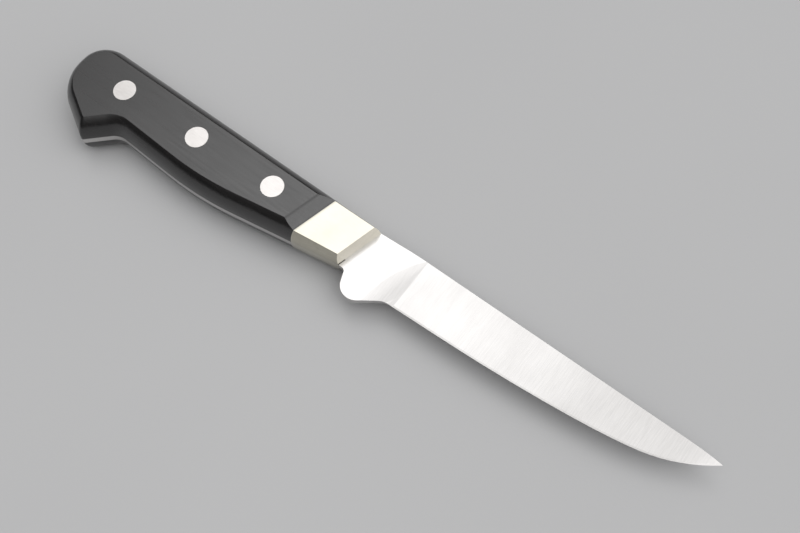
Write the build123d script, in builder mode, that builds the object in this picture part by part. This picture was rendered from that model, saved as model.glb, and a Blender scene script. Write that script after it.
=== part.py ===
"""Boning knife, lying on its side.

The knife is laid out in its own plan, whose plane is the middle of the steel plate: x runs
towards the tip from the bolster's front at the spine, y runs up to the spine from the
handle's straight back, and z is the height above the middle of the plate. Each finished
piece is then placed so that the knife lies on z = 0, with the middle of its length and of
its height over the origin. Lengths are in millimetres and angles in degrees.
"""

from build123d import *
from math import cos, radians, sin, tan
import os

# Steel plate: blade and full tang in one
blade_length = 110.9
stock = 2.0
tip_thickness = 0.8
ground_thickness = 0.34
bevel_angle = 18.0
blade_rise = 0.8
spine_rise = 0.6
spine_drop = 0.4
spine_drop_length = 14.0

# Cutting edge: depth and slope at the heel, then shares of the blade's length with their depths
heel_depth = 15.6
heel_slope = 0.045
edge_depths = [(0.36, 14.4), (0.6, 12.35), (0.78, 9.7), (0.89, 6.4)]
tip_slope = 0.85
edge_thickness = 0.08
plunge_start = 6.0
plunge_end = 16.0
least_grind_height = 4.0
grind_clearance = 0.1
grind_stations = 14

# Rounded lobe at the heel, left at full thickness
lobe_depth = 21.1
lobe_rear = 1.05
lobe_front = 5.8
lobe_radius = 4.5
lobe_run_out = 13.2
run_out_length = 5.0
run_out_radius = 6.0
notch_rear = -1.6
notch_radius = 1.3

# Bolster: both ends lean by the same angle
slant = 14.0
bolster_length = 14.8
bolster_depth = 14.8
bolster_front_half = 5.5
bolster_rear_half = 6.2
front_face_lean = 10.0
floor_thickness = 2.3
braze_gap = 0.03

# Handle: straight back, round butt, hooked pommel and a bellied underside
half_thickness = 7.9
handle_reach = 109.6
butt_radius = 9.5
butt_corner_depth = 19.3
lower_butt_radius = 14.0
pommel_reach = 91.7
pommel_depth = 29.2
pommel_radius = 0.8
hook_corner = (-83.4, -21.1)
hook_radius = 6.0
belly_corner = (-50.5, -22.6)
belly_radius = 110.0
facet_length = 4.1
ridge_radius = 3.0

# The sides of the grip are quarter ellipses. They start at this height above the middle of the
# steel, are this wide, and would turn flat this far above the flats, which cut them short.
side_start = 0.6
side_rounding = 5.2
flat_trim = 0.5

# Rivets: a row that slopes gently towards the butt, each a pin pressed into a sleeve
rivet_count = 3
first_rivet = (-31.9, -9.2)
rivet_spacing = 28.45
rivet_row_slope = 1.7
head_diameter = 6.9
head_depth = 2.4
sleeve_diameter = 4.0
pin_diameter = 2.4
sleeve_end_gap = 0.4
pin_end_gap = 1.0
rivet_clearance = 0.03
press_clearance = 0.01

far = 300.0
half_stock = stock / 2
lean = tan(radians(slant))
side_stretch = (half_thickness + flat_trim - side_start) / side_rounding


def leaning(start_x, y):
    """Point at height y of the line from start_x that leans as the bolster's ends do."""
    return (start_x + y * lean, y)


# Plans, all in the middle plane of the steel -------------------------------------------------

# The grip's form carries on past the bolster's front face, which is cut later
underside_slope = (belly_corner[1] + bolster_depth) / (belly_corner[0] + bolster_depth * lean)
grip_front = bolster_length
grip_front_depth = belly_corner[1] + underside_slope * (grip_front - belly_corner[0])
with BuildSketch() as grip_plan:
    with BuildLine():
        FilletPolyline(
            (grip_front, 0),
            (-handle_reach, 0),
            (-handle_reach, -butt_corner_depth),
            (-pommel_reach, -pommel_depth),
            hook_corner,
            belly_corner,
            (grip_front, grip_front_depth),
            radius=[0, butt_radius, lower_butt_radius, pommel_radius, hook_radius, belly_radius, 0],
            close=True,
        )
    make_face()


def zone_behind(start_x):
    """Everything behind the leaning line from start_x."""
    with BuildSketch() as zone:
        with BuildLine():
            front = (leaning(start_x, far), leaning(start_x, -far))
            Polyline(*front, (-2 * far, -far), (-2 * far, far), close=True)
        make_face()
    return zone.sketch


# The bolster wraps under the neck of the steel, with its floor against a step in the neck
with BuildSketch() as floor_plan:
    add(grip_plan.sketch)
    add(zone_behind(0), mode=Mode.INTERSECT)
    add(zone_behind(-bolster_length), mode=Mode.SUBTRACT)
    add(Pos(0, floor_thickness) * grip_plan.sketch, mode=Mode.SUBTRACT)

with BuildSketch() as blade_plan:
    with BuildLine():
        neck = Line((-bolster_length, 0), (-bolster_length / 4, 0))
        rise = Spline(neck @ 1, (plunge_end, blade_rise), tangents=[(1, 0), (1, 0)])
        drop_start = (blade_length - spine_drop_length, blade_rise + spine_rise)
        spine = Line(rise @ 1, drop_start)
        tip = (blade_length, blade_rise + spine_rise - spine_drop)
        drop = Spline(spine @ 1, tip, tangents=[spine % 1, (1, -0.1)])
        heel = FilletPolyline(
            leaning(0, -bolster_depth),
            (notch_rear, -bolster_depth),
            (lobe_rear, -lobe_depth),
            (lobe_front, -lobe_depth),
            (lobe_run_out, -heel_depth),
            (lobe_run_out + run_out_length, heel_slope * run_out_length - heel_depth),
            radius=[notch_radius, lobe_radius, lobe_radius, run_out_radius],
        )
        edge_points = [(share * blade_length, -depth) for share, depth in edge_depths]
        cutting_edge = Spline(heel @ 1, *edge_points, tip, tangents=[heel % 1, (1, tip_slope)])
        Line(heel @ 0, neck @ 0)
    make_face()

# The steel fills the grip's plan but for the bolster's floor
with BuildSketch() as steel_plan:
    add(grip_plan.sketch)
    add(zone_behind(0), mode=Mode.INTERSECT)
    add(blade_plan.sketch)
    add(floor_plan.sketch, mode=Mode.SUBTRACT)

rivet_centres = [
    (
        first_rivet[0] - i * rivet_spacing * cos(radians(rivet_row_slope)),
        first_rivet[1] - i * rivet_spacing * sin(radians(rivet_row_slope)),
    )
    for i in range(rivet_count)
]

# The knife's box in its own plan says where the middle of the plate goes
box_low = steel_plan.sketch.bounding_box().min
box_high = steel_plan.sketch.bounding_box().max
middle = Plane(origin=(-(box_low.X + box_high.X) / 2, -(box_low.Y + box_high.Y) / 2, half_thickness))


# Grip form: handle and bolster as ground together, before they are parted ---------------------

# The bolster's ends lie along this plane's normal, and its x axis runs across them
across = Plane(
    origin=middle.origin,
    x_dir=(cos(radians(slant)), -sin(radians(slant)), 0),
    z_dir=(-sin(radians(slant)), -cos(radians(slant)), 0),
)
seam = -bolster_length * cos(radians(slant))
ridge = -(bolster_length + facet_length) * cos(radians(slant))
bolster_slope = (bolster_front_half - bolster_rear_half) / -seam
past_front_half = bolster_front_half + bolster_slope * bolster_length
side_profile = [
    (bolster_length, -far),
    (bolster_length, past_front_half),
    (seam, bolster_rear_half),
    (ridge, half_thickness),
    (-far, half_thickness),
    (-far, -far),
]

# The sides are rounded at full height all round, and then the lower bolster is ground into
# them. Rounding a low form and stretching it turns the round sides into quarter ellipses.
with BuildPart() as grip_form:
    with BuildSketch(middle):
        add(grip_plan.sketch)
    extrude(amount=(half_thickness + flat_trim) / side_stretch)
    front_x = middle.origin.X + grip_front
    rim = grip_form.faces().sort_by(Axis.Z)[-1].edges().filter_by(
        lambda line: line.center().X < front_x - side_rounding
    )
    fillet(rim, radius=side_rounding)
    scale(by=(1, 1, side_stretch), about=middle.origin)
    with BuildSketch(across):
        with BuildLine():
            FilletPolyline(
                *side_profile,
                radius=[0, 0, ridge_radius, ridge_radius, 0, 0],
                close=True,
            )
        make_face()
    extrude(amount=far, both=True, mode=Mode.INTERSECT)
    mirror(about=middle)


# Steel: blade and full tang -------------------------------------------------------------------


def edge_height(x):
    """Height of the cutting edge at x, carried on straight past either end."""
    if x <= (heel @ 1).X:
        return heel_slope * (x - lobe_run_out) - heel_depth
    if x >= blade_length:
        return tip[1] + tip_slope * (x - blade_length)
    return cutting_edge.intersect(Axis((x, -far, 0), (0, 1, 0)))[0].Y


def plate_section(x, *corners):
    """Cross-section of the plate at x, from the heights and half thicknesses of one side."""
    station = Plane(origin=middle.origin + (x, 0, 0), x_dir=(0, 1, 0), z_dir=(1, 0, 0))
    with BuildSketch(station) as section:
        with BuildLine():
            Polyline(*corners, *[(y, -half) for y, half in reversed(corners)], close=True)
        make_face()
    return section.sketch


def full_section(x):
    """Section that clears the whole plate, past its faces, the spine and the pommel."""
    half = half_stock + grind_clearance
    high = spine_height + stock
    low = -pommel_depth - stock
    return plate_section(x, (high, half), (-heel_depth, half), (low, half))


def ground_section(x):
    """Section with the flat grind and the bevel, which meet in a shoulder.

    The grind starts at full thickness at the spine, so the plunge fades out there.
    """
    edge_y = edge_height(x)
    spine_y = max(spine_height, edge_y + least_grind_height)
    taper = (stock - tip_thickness) / 2 / (blade_length - plunge_end)
    spine_half = half_stock - taper * (x - plunge_end)
    grind = (spine_half - ground_thickness / 2) / (spine_y - edge_y)
    bevel = tan(radians(bevel_angle))
    shoulder = (ground_thickness - edge_thickness) / 2 / (bevel - grind)
    past_edge = edge_thickness / 3
    return plate_section(
        x,
        (spine_y + stock, spine_half + grind * stock),
        (edge_y + shoulder, ground_thickness / 2 + grind * shoulder),
        (edge_y - past_edge, edge_thickness / 2 - bevel * past_edge),
    )


spine_height = blade_rise + spine_rise
past_tip = blade_length + stock
with BuildPart() as grinds:
    loft([full_section(-far), full_section(plunge_start), ground_section(plunge_end)], ruled=True)
    station_spacing = (past_tip - plunge_end) / (grind_stations - 1)
    loft([ground_section(plunge_end + i * station_spacing) for i in range(grind_stations)])

with BuildPart() as blade_and_tang:
    with BuildSketch(middle):
        add(steel_plan.sketch)
        with Locations(*rivet_centres):
            Circle(sleeve_diameter / 2 + rivet_clearance, mode=Mode.SUBTRACT)
    extrude(amount=half_stock, both=True)
    add(grinds.part, mode=Mode.INTERSECT)
blade_and_tang.part.label = "blade_and_tang"


# Bolster: wraps under the steel's neck, with a slot that is open at the spine -----------------

with BuildPart() as bolster:
    add(grip_form.part)
    with BuildSketch(across):
        with BuildLine():
            back = -far * tan(radians(front_face_lean))
            Polyline((0, 0), (back, far), (-far, far), (-far, -far), (back, -far), close=True)
        make_face()
    extrude(amount=far, both=True, mode=Mode.INTERSECT)
    with BuildSketch(middle):
        add(zone_behind(-bolster_length))
    extrude(amount=far, both=True, mode=Mode.SUBTRACT)
    with BuildSketch(middle):
        add(steel_plan.sketch)
    extrude(amount=half_stock + braze_gap, both=True, mode=Mode.SUBTRACT)
bolster.part.label = "bolster"


# Handle scales: flat against the tang, bored and counterbored for the rivets ------------------

with BuildPart() as upper_scale:
    add(grip_form.part)
    with BuildSketch(middle.offset(half_stock)):
        add(zone_behind(-bolster_length))
    extrude(amount=half_thickness - half_stock, mode=Mode.INTERSECT)
    with BuildSketch(middle):
        with Locations(*rivet_centres):
            Circle(sleeve_diameter / 2 + rivet_clearance)
    extrude(amount=half_thickness, mode=Mode.SUBTRACT)
    with BuildSketch(middle.offset(half_thickness)):
        with Locations(*rivet_centres):
            Circle(head_diameter / 2 + rivet_clearance)
    extrude(amount=-head_depth, mode=Mode.SUBTRACT)
upper_scale.part.label = "upper_scale"

with BuildPart() as lower_scale:
    mirror(upper_scale.part, about=middle)
lower_scale.part.label = "lower_scale"


# Rivets: a pin with a head on the upper side, pressed into a sleeve with a head below ---------

head_seat = half_thickness - head_depth
sleeve_length = 2 * head_seat - sleeve_end_gap
pin_length = sleeve_length + sleeve_end_gap - pin_end_gap
rivet_pieces = []
for number, centre in enumerate(rivet_centres, start=1):
    with BuildPart() as sleeve:
        with BuildSketch(middle.offset(-half_thickness)):
            with Locations(centre):
                Circle(head_diameter / 2)
        extrude(amount=head_depth)
        with BuildSketch(middle.offset(-head_seat)):
            with Locations(centre):
                Circle(sleeve_diameter / 2)
        extrude(amount=sleeve_length)
        with BuildSketch(middle.offset(-head_seat)):
            with Locations(centre):
                Circle(pin_diameter / 2 + press_clearance)
        extrude(amount=sleeve_length, mode=Mode.SUBTRACT)
    sleeve.part.label = f"rivet_sleeve_{number}"

    with BuildPart() as pin:
        with BuildSketch(middle.offset(half_thickness)):
            with Locations(centre):
                Circle(head_diameter / 2)
        extrude(amount=-head_depth)
        with BuildSketch(middle.offset(head_seat)):
            with Locations(centre):
                Circle(pin_diameter / 2)
        extrude(amount=-pin_length)
    pin.part.label = f"rivet_pin_{number}"

    rivet_pieces += [sleeve.part, pin.part]


os.makedirs("parts", exist_ok=True)
for piece in [blade_and_tang.part, bolster.part, upper_scale.part, lower_scale.part, *rivet_pieces]:
    export_step(piece, f"parts/{piece.label}.step")
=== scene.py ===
from math import cos, radians, sin

import bpy
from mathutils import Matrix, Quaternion, Vector


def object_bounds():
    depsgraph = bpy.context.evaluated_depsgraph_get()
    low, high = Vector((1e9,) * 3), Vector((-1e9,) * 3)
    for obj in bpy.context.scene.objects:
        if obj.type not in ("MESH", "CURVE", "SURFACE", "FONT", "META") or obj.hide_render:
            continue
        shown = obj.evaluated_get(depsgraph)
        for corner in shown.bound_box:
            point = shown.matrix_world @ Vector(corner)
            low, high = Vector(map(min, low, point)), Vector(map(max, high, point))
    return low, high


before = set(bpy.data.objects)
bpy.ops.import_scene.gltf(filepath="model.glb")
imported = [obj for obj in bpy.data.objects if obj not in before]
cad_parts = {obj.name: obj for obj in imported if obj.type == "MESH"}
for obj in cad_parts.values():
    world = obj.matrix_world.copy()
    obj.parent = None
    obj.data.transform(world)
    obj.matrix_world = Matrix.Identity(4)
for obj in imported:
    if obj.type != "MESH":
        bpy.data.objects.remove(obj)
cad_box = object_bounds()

LOW, HIGH = cad_box
CENTRE = (LOW + HIGH) / 2


# Lean of the hairlines: the blade's from straight across, the bolster's from straight along
BLADE_LEAN = radians(8)
BOLSTER_LEAN = radians(14)
# Cycles' Pointiness is 0.5 on flat ground and more on convex edges
UNWORN, WORN = 0.53, 0.62
FLOOR_SIZE = 6.0


# ---- Node helpers ---------------------------------------------------------------------------


class Nodes:
    """A material's node tree, with short ways to add what the materials below share."""

    def __init__(self, name):
        self.material = bpy.data.materials.new(name)
        self.material.use_nodes = True
        self.tree = self.material.node_tree
        self.shader = self.tree.nodes["Principled BSDF"]
        self.position = self.add("ShaderNodeTexCoord").outputs["Object"]

    def add(self, kind, **settings):
        node = self.tree.nodes.new(kind)
        for name, value in settings.items():
            setattr(node, name, value)
        return node

    def link(self, start, end):
        self.tree.links.new(start, end)

    def set(self, **values):
        """Constant values of the shader's own sockets, named with _ for a space."""
        for name, value in values.items():
            self.shader.inputs[name.replace("_", " ")].default_value = value

    def stretched(self, scale, turn=(0, 0, 0)):
        """Object coordinates, turned and scaled; noise runs long where the scale is small."""
        mapping = self.add("ShaderNodeMapping")
        mapping.inputs["Scale"].default_value = scale
        mapping.inputs["Rotation"].default_value = turn
        self.link(self.position, mapping.inputs["Vector"])
        return mapping.outputs["Vector"]

    def noise(self, vector, scale, detail=3.0, distortion=0.0):
        """Noise of about scale features to the metre, from 0 to 1."""
        node = self.add("ShaderNodeTexNoise")
        self.link(vector, node.inputs["Vector"])
        node.inputs["Scale"].default_value = scale
        node.inputs["Detail"].default_value = detail
        node.inputs["Distortion"].default_value = distortion
        return node.outputs["Fac"]

    def spread(self, value, low, high, to_low, to_high):
        """value from low..high to to_low..to_high, clamped."""
        node = self.add("ShaderNodeMapRange", clamp=True)
        self.link(value, node.inputs["Value"])
        ends = {"From Min": low, "From Max": high, "To Min": to_low, "To Max": to_high}
        for name, number in ends.items():
            node.inputs[name].default_value = number
        return node.outputs["Result"]

    def ramp(self, value, *stops):
        """Colour ramp of (place, colour) stops."""
        node = self.add("ShaderNodeValToRGB")
        self.link(value, node.inputs["Fac"])
        elements = node.color_ramp.elements
        while len(elements) < len(stops):
            elements.new(0.5)
        for element, (place, colour) in zip(elements, stops):
            element.position = place
            element.color = (*colour, 1)
        return node.outputs["Color"]

    def math(self, operation, first, second):
        node = self.add("ShaderNodeMath", operation=operation)
        for socket, value in zip(node.inputs, (first, second)):
            if isinstance(value, (int, float)):
                socket.default_value = value
            else:
                self.link(value, socket)
        return node.outputs["Value"]

    def mix(self, share, first, second, blend="MIX"):
        """Two colours mixed. The node repeats its socket names, so they are taken by number."""
        node = self.add("ShaderNodeMix", data_type="RGBA", blend_type=blend)
        for number, value in ((0, share), (6, first), (7, second)):
            socket = node.inputs[number]
            if isinstance(value, (int, float)):
                socket.default_value = value
            elif isinstance(value, tuple):
                socket.default_value = (*value, 1)
            else:
                self.link(value, socket)
        return node.outputs[2]

    def wear(self):
        """Nearly 1 along convex edges, where hands and cloths rub, and 0 elsewhere."""
        pointiness = self.add("ShaderNodeNewGeometry").outputs["Pointiness"]
        return self.spread(pointiness, UNWORN, WORN, 0, 1)

    def brushed(self, cloud, dull, bright, lines, hair, hair_place=0.32):
        """Metal that drifts between two tones, crossed by hairlines of a darker grey."""
        tint = self.ramp(cloud, (0.3, dull), (0.7, bright))
        hairs = self.ramp(lines, (hair_place, (hair, hair, hair)), (0.6, (1, 1, 1)))
        return self.mix(0.8, tint, hairs, "MULTIPLY")

    def bump(self, height, distance):
        """Fine relief, up to distance metres high."""
        node = self.add("ShaderNodeBump")
        self.link(height, node.inputs["Height"])
        node.inputs["Distance"].default_value = distance
        self.link(node.outputs["Normal"], self.shader.inputs["Normal"])


# ---- Materials ------------------------------------------------------------------------------


def blade_steel():
    """Stainless steel with a fine satin finish, ground across the blade."""
    m = Nodes("blade_satin_steel")
    m.set(Metallic=1.0)
    lines = m.noise(m.stretched((1, 0.03, 0.3), (0, 0, BLADE_LEAN)), scale=5200)
    bands = m.noise(m.stretched((1, 0.1, 0.3), (0, 0, BLADE_LEAN)), scale=420, detail=2)
    cloud = m.noise(m.position, scale=55)
    metal = m.brushed(cloud, (0.54, 0.528, 0.52), (0.61, 0.598, 0.59), lines, hair=0.89)
    m.link(metal, m.shader.inputs["Base Color"])
    smear = m.math("ADD", m.math("MULTIPLY", lines, 0.6), m.math("MULTIPLY", bands, 0.4))
    m.link(m.spread(smear, 0.3, 0.7, 0.20, 0.28), m.shader.inputs["Roughness"])
    m.bump(lines, 0.0000006)
    return m.material


def nickel_silver():
    """Polished nickel silver: a slightly yellow white metal with a few hairlines."""
    m = Nodes("nickel_silver")
    m.set(Metallic=1.0)
    lines = m.noise(m.stretched((0.05, 1, 1), (0, 0, BOLSTER_LEAN)), scale=4200)
    cloud = m.noise(m.position, scale=110, detail=4)
    metal = m.brushed(cloud, (0.50, 0.475, 0.40), (0.56, 0.535, 0.455), lines, hair=0.84)
    rubbed = m.math("MULTIPLY", m.wear(), 0.5)
    m.link(m.mix(rubbed, metal, (0.68, 0.66, 0.60)), m.shader.inputs["Base Color"])
    m.link(m.spread(lines, 0.3, 0.7, 0.12, 0.24), m.shader.inputs["Roughness"])
    m.bump(lines, 0.0000009)
    return m.material


def rivet_steel():
    """Ground stainless steel of the rivet heads, matt beside the blade."""
    m = Nodes("rivet_steel")
    m.set(Metallic=1.0)
    lines = m.noise(m.stretched((0.06, 1, 1)), scale=6000)
    cloud = m.noise(m.position, scale=260)
    metal = m.brushed(cloud, (0.76, 0.73, 0.71), (0.84, 0.81, 0.79), lines, 0.80, hair_place=0.3)
    m.link(metal, m.shader.inputs["Base Color"])
    m.link(m.spread(lines, 0.3, 0.7, 0.30, 0.42), m.shader.inputs["Roughness"])
    m.bump(lines, 0.0000012)
    return m.material


def black_pakkawood():
    """Black resin-impregnated wood: polished, with a faint long grain and fine pores."""
    m = Nodes("black_pakkawood")
    m.set(Specular_IOR_Level=0.9)
    grain = m.noise(m.stretched((0.06, 1, 1)), scale=1300, detail=4, distortion=0.4)
    pores = m.noise(m.stretched((0.05, 1, 1)), scale=4600, detail=2)
    cloud = m.noise(m.stretched((0.3, 1, 1)), scale=90)
    dark, light = (0.0022, 0.002, 0.0021), (0.009, 0.0072, 0.0072)
    streaks = m.ramp(grain, (0.35, dark), (0.75, light))
    clouds = m.ramp(cloud, (0.3, dark), (0.75, light))
    wood = m.mix(0.45, streaks, clouds)
    rubbed = m.math("MULTIPLY", m.wear(), 0.6)
    m.link(m.mix(rubbed, wood, (0.03, 0.026, 0.026)), m.shader.inputs["Base Color"])
    m.link(m.spread(grain, 0.25, 0.75, 0.17, 0.29), m.shader.inputs["Roughness"])
    m.bump(m.math("ADD", grain, m.math("MULTIPLY", pores, 0.6)), 0.000004)
    return m.material


def floor_paper():
    """Pale studio paper with a barely visible tooth."""
    m = Nodes("studio_floor")
    m.set(Roughness=0.8)
    cloud = m.noise(m.position, scale=6, detail=2)
    tooth = m.noise(m.position, scale=900, detail=2)
    paper = m.ramp(cloud, (0.3, (0.54, 0.54, 0.545)), (0.7, (0.56, 0.56, 0.565)))
    m.link(paper, m.shader.inputs["Base Color"])
    m.bump(tooth, 0.00002)
    return m.material


def use(node, material):
    """Give a CAD node one material all over."""
    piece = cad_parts[node]
    piece.data.materials.clear()
    piece.data.materials.append(material)


# ---- The knife ------------------------------------------------------------------------------

use("blade_and_tang", blade_steel())
use("bolster", nickel_silver())
handle = black_pakkawood()
use("upper_scale", handle)
use("lower_scale", handle)
rivet = rivet_steel()
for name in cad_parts:
    if name.startswith("rivet"):
        use(name, rivet)


# ---- Stage ----------------------------------------------------------------------------------


def make_floor():
    bpy.ops.mesh.primitive_plane_add(size=FLOOR_SIZE, location=(0, 0, LOW.z))
    floor = bpy.context.object
    floor.name = "studio_floor"
    floor.data.materials.append(floor_paper())


def make_studio(ambient, *lights):
    """An even room with soft round lights: a direction, a spread in degrees and a peak each."""
    world = bpy.data.worlds.new("studio")
    bpy.context.scene.world = world
    world.use_nodes = True
    tree = world.node_tree
    background = tree.nodes["Background"]
    direction = tree.nodes.new("ShaderNodeTexCoord").outputs["Generated"]

    def node(kind, operation, *inputs):
        made = tree.nodes.new(kind)
        made.operation = operation
        for socket, value in zip(made.inputs, inputs):
            if isinstance(value, (int, float, Vector)):
                socket.default_value = value
            else:
                tree.links.new(value, socket)
        return made

    strength = ambient
    for towards, spread, peak in lights:
        middle = Vector(towards).normalized()
        facing = node("ShaderNodeVectorMath", "DOT_PRODUCT", direction, middle).outputs["Value"]
        away = node("ShaderNodeMath", "SUBTRACT", 1.0, facing).outputs[0]
        fade = node("ShaderNodeMath", "MULTIPLY", away, -2 / radians(spread) ** 2).outputs[0]
        lobe = node("ShaderNodeMath", "EXPONENT", fade).outputs[0]
        strength = node("ShaderNodeMath", "MULTIPLY_ADD", lobe, peak, strength).outputs[0]
    tree.links.new(strength, background.inputs["Strength"])
    background.inputs["Color"].default_value = (1, 1, 1, 1)


def make_camera(aim, azimuth, elevation, roll, distance, lens):
    """Angles in degrees, azimuth from the front and rising towards +X; lens in mm on 36 mm."""
    back = Vector((sin(radians(azimuth)) * cos(radians(elevation)),
                   -cos(radians(azimuth)) * cos(radians(elevation)),
                   sin(radians(elevation))))
    camera = bpy.data.objects.new("camera", bpy.data.cameras.new("camera"))
    bpy.context.scene.collection.objects.link(camera)
    bpy.context.scene.camera = camera
    camera.rotation_mode = "QUATERNION"
    camera.location = aim + back * distance
    camera.rotation_quaternion = back.to_track_quat("Z", "Y") @ Quaternion((0, 0, 1), radians(roll))
    camera.data.lens = lens
    camera.data.sensor_width = 36
    camera.data.clip_start = 0.01


make_floor()
over_handle = ((-0.35, 0.29, 0.89), 15, 2.2)
over_blade = ((0.52, 0.1, 0.85), 34, 2.3)
over_edge_side = ((-0.2, -0.32, 0.93), 14, 1.3)
make_studio(0.1, over_handle, over_blade, over_edge_side)
make_camera(aim=CENTRE + Vector((0.00945, 0.00932, 0)), azimuth=43.18, elevation=65.4, roll=-5.73,
            distance=0.3091, lens=49.5)
bpy.context.scene.view_settings.view_transform = "Standard"
